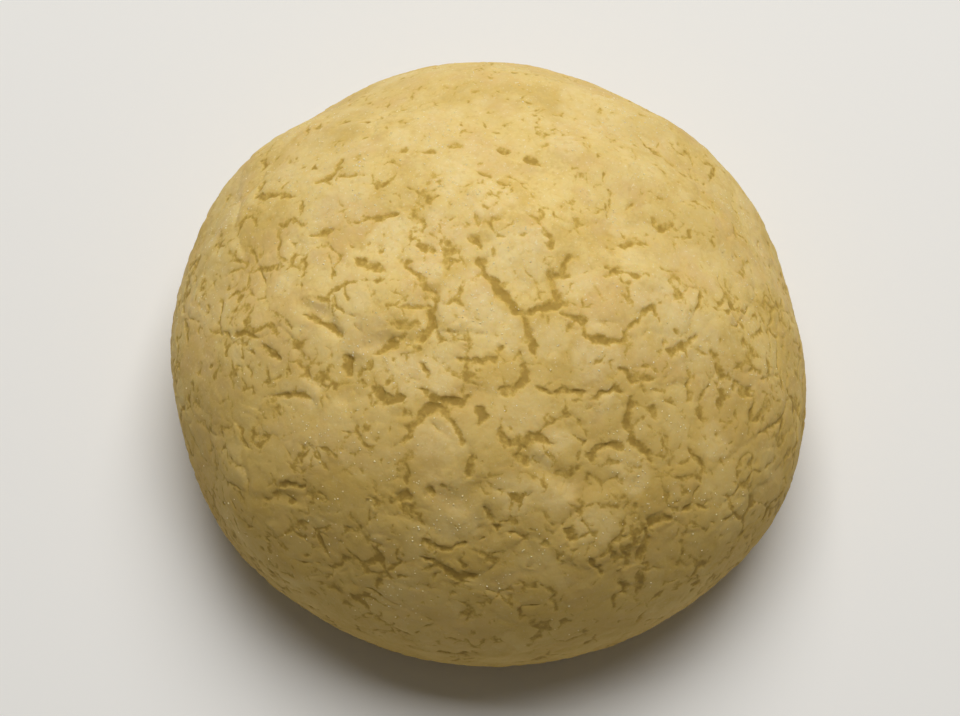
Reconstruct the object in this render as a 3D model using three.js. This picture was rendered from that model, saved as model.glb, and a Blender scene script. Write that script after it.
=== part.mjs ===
// A melon pan bun: a soft round roll baked under a thin cookie crust that has split into plates.
// Millimetres, +Z up. The bun rests on its flat base at z = 0, and the origin is the centre of the base.
// It is one solid: an uneven dome with a rounded heel, and cracks that run between the plates of its crust.

import * as THREE from "three";
import { mergeVertices } from "three/addons/utils/BufferGeometryUtils.js";

// Driving dimensions.
const WIDTH = 110; // along X
const DEPTH = 108; // along Y
const HEIGHT = 54;
const WIDEST_HEIGHT = 17; // where the side bulges furthest out
const BASE_SHARE = 0.78; // radius of the flat base over the widest radius

// How finely the sphere that the bun is shaped from is divided.
const EDGE_CUTS = 21; // cuts across each edge of the icosahedron
const EDGE_TURN = Math.atan(2); // the angle that one of its edges spans
const MESH_STEP = EDGE_TURN / (EDGE_CUTS + 1);

// The turns from the top pole, in radians, where each stretch of the profile ends and the relief fades.
const CROWN_END = THREE.MathUtils.degToRad(108);
const HEEL_END = THREE.MathUtils.degToRad(146);
const FADE_START = THREE.MathUtils.degToRad(62);

// The outline seen from above is a slightly turned oval with a few soft corners.
const LOBES = [
  { order: 2, share: 0.013, peak: -45 },
  { order: 3, share: 0.0064, peak: -27 },
  { order: 4, share: 0.0064, peak: -26 },
  { order: 5, share: 0.003, peak: -33 },
  { order: 6, share: 0.006, peak: -22 },
];

// Broad swells where the dough rose unevenly. Turns are the slowest and fastest wave, in radians.
const SWELLS = { count: 10, rise: 0.2, turns: [7, 16] };

// The plates that stand out on the crown: the centre of each, [x, y], seen from above.
const CROWN_PLATES = [
  [6, 3], [-2, -6], [9, -9], [17, -2], [16, 6], [29, -4], [27, 5], [12, 14], [3, 14], [-7, 9],
  [-15, 8], [-7, 2], [-12, -2], [-18, 0], [-15, -8], [-6, -13], [-14, -16], [-7, -17], [1, -16],
  [11, -14], [18, -13], [23, -16], [27, -10], [7, -22], [18, -20], [-4, -23], [2, -28], [-11, -26],
  [11, -27], [21, -28], [28, -21], [8, -34], [18, -37], [-4, -35], [-13, -34], [-20, -25],
];

// Where the crust has pulled open the furthest, [x, y], seen from above.
const OPEN_SPOTS = [
  [0, 4], [3, -2], [7, -5], [11, 0], [10, 6], [6, -10], [-9, -4], [-10, -8], [13, -6], [19, -9],
  [-16, -11], [-7, -21], [-1, -21], [2, -25], [23, -19], [24, -25], [16, -28], [6, -15], [-17, 11],
];
const OPEN_REACH = 0.075; // how far each spot spreads, in radians
const LEAST_OPEN = 0.5; // share of the full depth that every crack has

// The other plates are spread evenly and then strayed.
const PLATE_COUNT = 300;
const PLATE_SPACING = Math.sqrt((4 * Math.PI) / PLATE_COUNT);
const PLATE_STRAY = 0.39; // how far a centre strays, over the spacing
const PLATE_ROOM = 0.85; // how far it stays from the crown's own plates, over the spacing
const PLATE_LIFT = 0.35; // how much one plate may stand above another
const CRACK_DEPTH = 1.5;
const CRACK_HALF_WIDTH = 1.25;
const SLIDE_REACH = 0.42; // how near a crack a mesh vertex slides onto it, over the mesh step
const BENDS = { count: 6, share: 0.012, turns: [12, 34] }; // waves that bend the cracks

const GOLDEN_ANGLE = Math.PI * (3 - Math.sqrt(5));

// Each use of scatter has a number of its own, so that no two give the same draws.
const SALTS = { swell: 11, bend: [21, 31, 41], stray: 51, lift: 61 };
const SCATTER = { perIndex: 12.9898, perSalt: 78.233, start: 4.1, stretch: 43758.5453 };

// The same number from 0 to 1 for the same index and salt, with no pattern between neighbours.
function scatter(index, salt) {
  const turn = index * SCATTER.perIndex + salt * SCATTER.perSalt + SCATTER.start;
  const wave = Math.sin(turn) * SCATTER.stretch;
  return wave - Math.floor(wave);
}

// A unit vector from how far up it points and its turn about the up axis.
function unitVector(up, turn) {
  const across = Math.sqrt(1 - up * up);
  return new THREE.Vector3(across * Math.cos(turn), across * Math.sin(turn), up);
}

function scatteredDirection(index, salt) {
  return unitVector(2 * scatter(index, salt) - 1, 2 * Math.PI * scatter(index, salt + 1));
}

// Waves that cross the sphere in different directions, each with its own pace and start.
function makeWaves({ count, turns }, salt) {
  return Array.from({ length: count }, (_, index) => ({
    way: scatteredDirection(index, salt).multiplyScalar(
      THREE.MathUtils.lerp(turns[0], turns[1], index / (count - 1)),
    ),
    start: 2 * Math.PI * scatter(index, salt + 2),
  }));
}

function waveSum(waves, direction) {
  return waves.reduce((sum, wave) => sum + Math.sin(wave.way.dot(direction) + wave.start), 0);
}

const swells = makeWaves(SWELLS, SALTS.swell);
const bends = SALTS.bend.map((salt) => makeWaves(BENDS, salt));

// The direction, on the unit sphere, of a place on the crown seen from above.
function directionAbove([x, y]) {
  const across = (y * WIDTH) / DEPTH;
  const share = Math.hypot(x, across) / (WIDTH / 2);
  const polar = (Math.asin(share) * CROWN_END) / (Math.PI / 2);
  return unitVector(Math.cos(polar), Math.atan2(across, x));
}

const openSpots = OPEN_SPOTS.map(directionAbove);

// How far the crust has pulled open at a direction: from the least share up to 1 at an open spot.
function opennessAt(direction) {
  const pulls = openSpots.map((spot) =>
    Math.exp(-direction.distanceToSquared(spot) / OPEN_REACH ** 2),
  );
  return THREE.MathUtils.lerp(LEAST_OPEN, 1, Math.max(...pulls));
}

// Plate centres: the crown's own, then an even spiral over the sphere, each strayed by its own amount.
function makePlates() {
  const centres = CROWN_PLATES.map(directionAbove);
  const room = PLATE_ROOM * PLATE_SPACING;
  for (let index = 0; index < PLATE_COUNT; index += 1) {
    const centre = unitVector(1 - (2 * index + 1) / PLATE_COUNT, index * GOLDEN_ANGLE);
    const stray = PLATE_STRAY * PLATE_SPACING;
    centre.addScaledVector(scatteredDirection(index, SALTS.stray), stray).normalize();
    const crowded = centres
      .slice(0, CROWN_PLATES.length)
      .some((own) => own.distanceTo(centre) < room);
    if (!crowded) {
      centres.push(centre);
    }
  }
  return centres.map((centre, index) => ({ centre, lift: scatter(index, SALTS.lift) }));
}

const plates = makePlates();

// A direction moved a little by the waves that bend the cracks.
function bend(direction) {
  const bent = direction.clone();
  bends.forEach((waves, axis) => {
    bent.setComponent(axis, bent.getComponent(axis) + BENDS.share * waveSum(waves, direction));
  });
  return bent.normalize();
}

// Where a direction lies among the plates: its plate's lift, and the way and turn to the nearest crack.
function plateAt(direction) {
  const bent = bend(direction);
  let nearest = null;
  let next = null;
  for (const plate of plates) {
    const away = bent.distanceToSquared(plate.centre);
    if (!nearest || away < nearest.away) {
      next = nearest;
      nearest = { plate, away };
    } else if (!next || away < next.away) {
      next = { plate, away };
    }
  }
  const way = next.plate.centre.clone().sub(nearest.plate.centre);
  const apart = way.length();
  return {
    lift: nearest.plate.lift,
    way: way.divideScalar(apart),
    toCrack: (next.away - nearest.away) / (2 * apart),
  };
}

function outlineShare(azimuth) {
  return LOBES.reduce((share, lobe) => {
    const peak = THREE.MathUtils.degToRad(lobe.peak);
    return share + lobe.share * Math.cos(lobe.order * (azimuth - peak));
  }, 1);
}

// The smooth side profile: radius and height for a turn from the top pole.
function profileAt(polar) {
  const widest = WIDTH / 2;
  const base = widest * BASE_SHARE;
  if (polar <= CROWN_END) {
    const turn = ((polar / CROWN_END) * Math.PI) / 2;
    const rise = HEIGHT - WIDEST_HEIGHT;
    return { radius: widest * Math.sin(turn), z: WIDEST_HEIGHT + rise * Math.cos(turn) };
  }
  if (polar <= HEEL_END) {
    const turn = (((polar - CROWN_END) / (HEEL_END - CROWN_END)) * Math.PI) / 2;
    return {
      radius: base + (widest - base) * Math.cos(turn),
      z: WIDEST_HEIGHT * (1 - Math.sin(turn)),
    };
  }
  return { radius: (base * (Math.PI - polar)) / (Math.PI - HEEL_END), z: 0 };
}

function polarOf(direction) {
  return Math.acos(THREE.MathUtils.clamp(direction.z, -1, 1));
}

// The smooth bun's surface point for a direction on the unit sphere.
function smoothPoint(direction) {
  const azimuth = Math.atan2(direction.y, direction.x);
  const { radius, z } = profileAt(polarOf(direction));
  const share = outlineShare(azimuth);
  return new THREE.Vector3(
    radius * share * Math.cos(azimuth),
    radius * share * Math.sin(azimuth) * (DEPTH / WIDTH),
    z,
  );
}

// How freely the surface may move at a direction: fully over the crown, not at all on the base.
function reliefShare(direction) {
  return 1 - THREE.MathUtils.smoothstep(polarOf(direction), FADE_START, HEEL_END);
}

// The finished surface: each mesh vertex near a crack slides onto it, and the crack sinks along the normal.
function bunPoint(direction) {
  const free = reliefShare(direction);
  const { lift, way, toCrack } = plateAt(direction);
  const slide = toCrack < SLIDE_REACH * MESH_STEP ? toCrack * free : 0;
  const moved = direction.clone().addScaledVector(way, slide).normalize();
  const point = smoothPoint(moved);
  const outward = point.clone().sub(new THREE.Vector3(0, 0, WIDEST_HEIGHT)).normalize();
  const crackTurn = CRACK_HALF_WIDTH / (WIDTH / 2);
  const inCrack = 1 - THREE.MathUtils.smoothstep(toCrack - slide, 0, crackTurn);
  const sink = CRACK_DEPTH * opennessAt(moved) * inCrack;
  const relief = SWELLS.rise * waveSum(swells, moved) + PLATE_LIFT * lift - sink;
  return point.addScaledVector(outward, relief * free);
}

// Scales the solid to its driving dimensions and sets its base centre at the origin.
function fitToSize(geometry) {
  geometry.computeBoundingBox();
  const box = geometry.boundingBox;
  const size = box.getSize(new THREE.Vector3());
  const middle = box.getCenter(new THREE.Vector3());
  geometry.translate(-middle.x, -middle.y, -box.min.z);
  geometry.scale(WIDTH / size.x, DEPTH / size.y, HEIGHT / size.z);
}

function makeBun() {
  const sphere = new THREE.IcosahedronGeometry(1, EDGE_CUTS);
  sphere.deleteAttribute("normal");
  sphere.deleteAttribute("uv");
  const geometry = mergeVertices(sphere, MESH_STEP / 1000);
  const position = geometry.getAttribute("position");
  const direction = new THREE.Vector3();
  for (let index = 0; index < position.count; index += 1) {
    direction.fromBufferAttribute(position, index).normalize();
    const point = bunPoint(direction);
    position.setXYZ(index, point.x, point.y, point.z);
  }
  fitToSize(geometry);
  geometry.computeVertexNormals();
  const crust = new THREE.MeshStandardMaterial({ color: 0xdcc07c, roughness: 0.7, metalness: 0 });
  const mesh = new THREE.Mesh(geometry, crust);
  mesh.name = "bun";
  return mesh;
}

const melonPan = new THREE.Group();
melonPan.add(makeBun());

export default melonPan;
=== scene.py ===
"""A melon pan bun: a soft round roll baked under a thin cookie crust that has split into plates.

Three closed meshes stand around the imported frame: the cookie crust, the baked underside of the roll, and
the sugar on the crust. Shapes are worked out in millimetres from directions on the unit sphere, and set
into the scene in metres.
"""

import logging
import math
from dataclasses import dataclass
from enum import Enum
from functools import cached_property

import bmesh
import bpy
import numpy as np
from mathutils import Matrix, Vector


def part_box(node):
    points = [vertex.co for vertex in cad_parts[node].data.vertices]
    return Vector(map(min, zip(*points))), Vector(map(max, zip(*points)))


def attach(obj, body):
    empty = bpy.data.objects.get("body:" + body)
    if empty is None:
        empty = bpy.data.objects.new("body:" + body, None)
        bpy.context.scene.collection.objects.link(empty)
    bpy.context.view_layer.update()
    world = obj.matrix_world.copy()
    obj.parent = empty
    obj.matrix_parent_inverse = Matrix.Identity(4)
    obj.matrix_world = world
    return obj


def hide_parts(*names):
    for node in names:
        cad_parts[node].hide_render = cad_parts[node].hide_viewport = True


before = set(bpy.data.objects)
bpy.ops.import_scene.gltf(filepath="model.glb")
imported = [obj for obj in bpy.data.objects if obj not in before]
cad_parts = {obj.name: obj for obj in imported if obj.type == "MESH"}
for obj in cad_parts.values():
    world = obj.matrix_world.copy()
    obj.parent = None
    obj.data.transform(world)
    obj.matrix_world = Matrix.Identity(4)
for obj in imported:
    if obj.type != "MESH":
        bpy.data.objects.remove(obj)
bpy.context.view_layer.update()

MM = 0.001
GOLDEN_ANGLE = math.pi * (3 - math.sqrt(5))
CAD_NODE = "bun"
BODY = "root"

# The odd numbers that stir a lattice cell's three places, and its stream, into one random number.
AXIS_KEYS = (0x8DA6B343, 0xD8163841, 0xCB1AB31F)
STREAM_KEY = 0x9E3779B1
STIR_KEYS = (0x2C1B3C6D, 0x297A2D39)
LOW_HALF = 0xFFFFFFFF

# Where a round piece's two discs lie on its bake map: the middle and the radius of each.
UPPER_DISC = ((0.45, 0.55), 0.44)
LOWER_DISC = ((0.9, 0.1), 0.09)

Array = np.ndarray
Colour = tuple[float, float, float]

log = logging.getLogger("melon_pan")


class Slot(Enum):
    """The record's material slots."""

    CRUST = "cookie_crust"
    BASE = "bread_base"
    SUGAR = "sugar"


class Mark(Enum):
    """What a mesh remembers at each point, for its finish to read."""

    CRACK = "way_to_crack"
    FROST = "frost"
    # Baked brown, and painted shade on the crust's front, sides and heel.
    BROWN = "browning_and_shade"
    # Each plate's own tone, and painted shade in the broad valleys.
    TONE_AND_SHADE = "plate_tone_and_valley_shade"
    CLEAR = "clear"


# ---------------------------------------------------------------------------------------------------------
# Repeatable scatter and noise
# ---------------------------------------------------------------------------------------------------------


def scatter(index: Array | int, salt: int) -> Array:
    """Draw the same number from 0 to 1 for the same index and salt.

    Args:
        index: One index, or an array of them.
        salt: Which stream of draws to use.

    Returns:
        A number, or one for each index.
    """
    wave = np.sin(index * 12.9898 + salt * 78.233 + 4.1) * 43758.5453
    return wave - np.floor(wave)


def unit_vectors(up: Array, turn: Array) -> Array:
    """Make unit vectors from how far up they point and their turn about the up axis.

    Args:
        up: The upward part of each, from -1 to 1.
        turn: The turn of each, in radians.

    Returns:
        One row for each vector.
    """
    across = np.sqrt(1 - up * up)
    return np.stack([across * np.cos(turn), across * np.sin(turn), up], axis=-1)


def scattered_directions(count: int, salt: int) -> Array:
    """Draw directions spread evenly over the sphere.

    Args:
        count: How many.
        salt: Which stream of draws to use.

    Returns:
        One unit row for each direction.
    """
    index = np.arange(count)
    return unit_vectors(2 * scatter(index, salt) - 1, 2 * math.pi * scatter(index, salt + 1))


def smoothstep(value: Array, low: float | Array, high: float | Array) -> Array:
    """Ease from 0 to 1 while a value goes from low to high.

    Args:
        value: The values.
        low: Where the result leaves 0.
        high: Where the result reaches 1.

    Returns:
        The eased values.
    """
    part = np.clip((value - low) / (high - low), 0, 1)
    return part * part * (3 - 2 * part)


@dataclass(frozen=True)
class Waves:
    """Plane waves that cross the unit sphere in different directions."""

    count: int
    slowest: float
    fastest: float
    salt: int

    def at(self, directions: Array) -> Array:
        """Add the waves up.

        Args:
            directions: Unit rows.

        Returns:
            The sum of the waves at each direction.
        """
        pace = np.linspace(self.slowest, self.fastest, self.count)
        ways = scattered_directions(self.count, self.salt) * pace[:, None]
        start = 2 * math.pi * scatter(np.arange(self.count), self.salt + 2)
        return np.sin(directions @ ways.T + start).sum(axis=-1)


@dataclass(frozen=True)
class Lattice:
    """Random numbers on a cubic lattice, and the smooth noise between them."""

    spacing: float
    salt: int

    def draw(self, cells: Array, stream: int = 0) -> Array:
        """Draw a number from 0 to 1 for each lattice cell.

        Args:
            cells: Whole-number rows.
            stream: Which of the cell's draws to give.

        Returns:
            One number for each cell.
        """
        low_half = np.uint64(LOW_HALF)
        place = cells.astype(np.int64).astype(np.uint64)
        mixed = sum(place[..., axis] * np.uint64(key) for axis, key in enumerate(AXIS_KEYS))
        mixed = (mixed + np.uint64((self.salt * 31 + stream) * STREAM_KEY)) & low_half
        for key in STIR_KEYS:
            mixed = mixed ^ (mixed >> np.uint64(15))
            mixed = (mixed * np.uint64(key)) & low_half
        mixed = mixed ^ (mixed >> np.uint64(16))
        return mixed / float(LOW_HALF)

    def noise(self, points: Array, stream: int = 0) -> Array:
        """Blend the lattice's numbers smoothly.

        Args:
            points: Rows in the lattice's own unit.
            stream: Which of the cells' draws to blend.

        Returns:
            Noise from -1 to 1 at each point.
        """
        place = points / self.spacing
        cell = np.floor(place)
        part = place - cell
        part = part * part * part * (part * (part * 6 - 15) + 10)
        total = np.zeros(len(points))
        for corner in np.ndindex(2, 2, 2):
            share = np.prod(np.where(corner, part, 1 - part), axis=-1)
            total += share * self.draw(cell + corner, stream)
        return 2 * total - 1

    def push(self, points: Array) -> Array:
        """Give a smooth random push, from -1 to 1 along each axis, at each point."""
        return np.stack([self.noise(points, stream) for stream in (1, 2, 3)], axis=-1)

    def cells_around(self, points: Array) -> "CellPlaces":
        """Find where points lie among cells that each grow from one scattered centre.

        Args:
            points: Rows in the lattice's own unit.

        Returns:
            Each point's way from its cell's centre and edge, and its cell's own draw.
        """
        home = np.floor(points / self.spacing)
        best = np.full(len(points), np.inf)
        second = np.full(len(points), np.inf)
        best_centre = np.zeros_like(points)
        second_centre = np.zeros_like(points)
        draw = np.zeros(len(points))
        for step in np.ndindex(3, 3, 3):
            cell = home + step - 1
            stray = np.stack([self.draw(cell, stream) for stream in (4, 5, 6)], axis=-1)
            centre = (cell + stray) * self.spacing
            away = np.sum((points - centre) ** 2, axis=-1)
            nearer = away < best
            between = ~nearer & (away < second)
            second_centre[nearer] = best_centre[nearer]
            second[nearer] = best[nearer]
            second_centre[between] = centre[between]
            second[between] = away[between]
            best_centre[nearer] = centre[nearer]
            best[nearer] = away[nearer]
            draw[nearer] = self.draw(cell[nearer], 7)
        apart = np.linalg.norm(second_centre - best_centre, axis=-1)
        return CellPlaces(np.sqrt(best), (second - best) / (2 * apart), draw)


@dataclass(frozen=True)
class CellPlaces:
    """Where points lie among cells."""

    to_centre: Array
    to_edge: Array
    draw: Array


@dataclass(frozen=True)
class Layers:
    """Lattice noise in layers: the size, the spacing and the salt of each, in millimetres."""

    layers: tuple[tuple[float, float, int], ...]

    def noise(self, points: Array) -> Array:
        """Add the layers' smooth noise up at each point."""
        return sum(size * Lattice(spacing, salt).noise(points) for size, spacing, salt in self.layers)

    def push(self, points: Array) -> Array:
        """Add the layers' smooth pushes up at each point."""
        return sum(size * Lattice(spacing, salt).push(points) for size, spacing, salt in self.layers)


# ---------------------------------------------------------------------------------------------------------
# The bun's smooth form and its plates
# ---------------------------------------------------------------------------------------------------------


@dataclass(frozen=True)
class Lobe:
    """One soft wave of the outline seen from above."""

    order: int
    share: float
    peak: float


OUTLINE = (
    Lobe(2, 0.013, -45),
    Lobe(3, 0.0064, -27),
    Lobe(4, 0.0064, -26),
    Lobe(5, 0.003, -33),
    Lobe(6, 0.006, -22),
)


@dataclass(frozen=True)
class BunForm:
    """The bun's smooth form, in millimetres, over directions on the unit sphere."""

    width: float
    depth: float
    height: float
    widest_height: float = 17.0
    base_share: float = 0.78
    crown_end: float = math.radians(108)
    heel_end: float = math.radians(146)
    fade_start: float = math.radians(62)
    swells: Waves = Waves(10, 7, 16, 11)
    swell_rise: float = 0.2
    spread: float = 46.0

    @property
    def radius(self) -> float:
        """Half the bun's width."""
        return self.width / 2

    @property
    def base_radius(self) -> float:
        """The mean radius of the flat base."""
        return self.radius * self.base_share

    def direction_above(self, x: float, y: float) -> Array:
        """Find the direction of a place on the crown seen from above.

        Args:
            x: How far right of the middle.
            y: How far behind the middle.

        Returns:
            One unit vector.
        """
        across = y * self.width / self.depth
        polar = math.asin(math.hypot(x, across) / self.radius) * self.crown_end / (math.pi / 2)
        return unit_vectors(np.array(math.cos(polar)), np.array(math.atan2(across, x)))

    def outline_share(self, azimuth: Array) -> Array:
        """Give the outline's radius over its mean, at each turn about the up axis."""
        waves = [lobe.share * np.cos(lobe.order * (azimuth - math.radians(lobe.peak))) for lobe in OUTLINE]
        return 1 + sum(waves)

    def profile(self, polar: Array) -> tuple[Array, Array]:
        """Follow the side profile.

        Args:
            polar: Turns from the top pole, in radians.

        Returns:
            The radius and the height at each turn.
        """
        rise = self.height - self.widest_height
        crown = polar / self.crown_end * math.pi / 2
        heel = (polar - self.crown_end) / (self.heel_end - self.crown_end) * math.pi / 2
        bulge = self.radius - self.base_radius
        under = self.base_radius * (math.pi - polar) / (math.pi - self.heel_end)
        stretches = [polar <= self.crown_end, polar <= self.heel_end]
        radius = [self.radius * np.sin(crown), self.base_radius + bulge * np.cos(heel)]
        height = [
            self.widest_height + rise * np.cos(crown),
            self.widest_height * (1 - np.sin(heel)),
        ]
        return np.select(stretches, radius, under), np.select(stretches, height, 0.0)

    def points(self, directions: Array) -> Array:
        """Place the smooth surface's point for each direction."""
        polar = polar_angles(directions)
        azimuth = np.arctan2(directions[:, 1], directions[:, 0])
        radius, height = self.profile(polar)
        radius = radius * self.outline_share(azimuth)
        across = radius * np.sin(azimuth) * self.depth / self.width
        return np.stack([radius * np.cos(azimuth), across, height], axis=-1)

    def outward(self, points: Array) -> Array:
        """Point away from the middle of the bun at its widest height, at each point."""
        away = points - np.array([0, 0, self.widest_height])
        return away / np.linalg.norm(away, axis=-1, keepdims=True)

    def relief_share(self, directions: Array) -> Array:
        """Say how freely the surface may move: fully over the crown, not at all on the base."""
        return 1 - smoothstep(polar_angles(directions), self.fade_start, self.heel_end)

    def fitted(self, points: Array) -> Array:
        """Scale a bun's points to the form's width, depth and height, with its base centre at the origin."""
        low = points.min(axis=0)
        high = points.max(axis=0)
        foot = np.array([(low[0] + high[0]) / 2, (low[1] + high[1]) / 2, low[2]])
        return (points - foot) * (np.array([self.width, self.depth, self.height]) / (high - low))


def polar_angles(directions: Array) -> Array:
    """Give each direction's turn from the top pole, in radians."""
    return np.arccos(np.clip(directions[:, 2], -1, 1))


# The plates that stand out on the crown: the centre of each, (x, y), seen from above.
CROWN_PLATES = (
    (6, 3), (-2, -6), (9, -9), (17, -2), (16, 6), (29, -4), (27, 5), (12, 14), (3, 14), (-7, 9),
    (-15, 8), (-7, 2), (-12, -2), (-18, 0), (-15, -8), (-6, -13), (-14, -16), (-7, -17), (1, -16),
    (11, -14), (18, -13), (23, -16), (27, -10), (7, -22), (18, -20), (-4, -23), (2, -28), (-11, -26),
    (11, -27), (21, -28), (28, -21), (8, -34), (18, -37), (-4, -35), (-13, -34), (-20, -25),
)  # fmt: skip


@dataclass(frozen=True)
class Crack:
    """A crack or valley in the crown: half its width where it gapes most, and its route seen from above."""

    half_width: float
    route: tuple[tuple[float, float], ...]

    def way_to_side(self, form: BunForm, points: Array, limit: float) -> Array:
        """Measure how far places on the form lie from the crack's side.

        Args:
            form: The form that the crack runs over.
            points: The places, in millimetres.
            limit: The furthest way that matters.

        Returns:
            The way to the side in millimetres, under 0 inside the crack and never over the limit.
        """
        route = form.points(np.array([form.direction_above(x, y) for x, y in self.route]))
        ways = np.diff(route, axis=0)
        lengths = np.linalg.norm(ways, axis=-1)
        passed = np.concatenate([[0.0], np.cumsum(lengths)]) / lengths.sum()
        reach = limit + self.half_width
        inside = (points > route.min(axis=0) - reach) & (points < route.max(axis=0) + reach)
        near = np.flatnonzero(np.all(inside, axis=-1))
        least = np.full(len(near), limit)
        for start, way, length, before, after in zip(route, ways, lengths, passed, passed[1:]):
            offset = points[near] - start
            part = np.clip(offset @ way / length**2, 0, 1)
            away = np.linalg.norm(offset - part[:, None] * way, axis=-1)
            place = before + part * (after - before)
            gape = 0.35 + 0.65 * np.sqrt(np.clip(4 * place * (1 - place), 0, 1))
            least = np.minimum(least, away - self.half_width * gape)
        result = np.full(len(points), limit)
        result[near] = least
        return result


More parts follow.
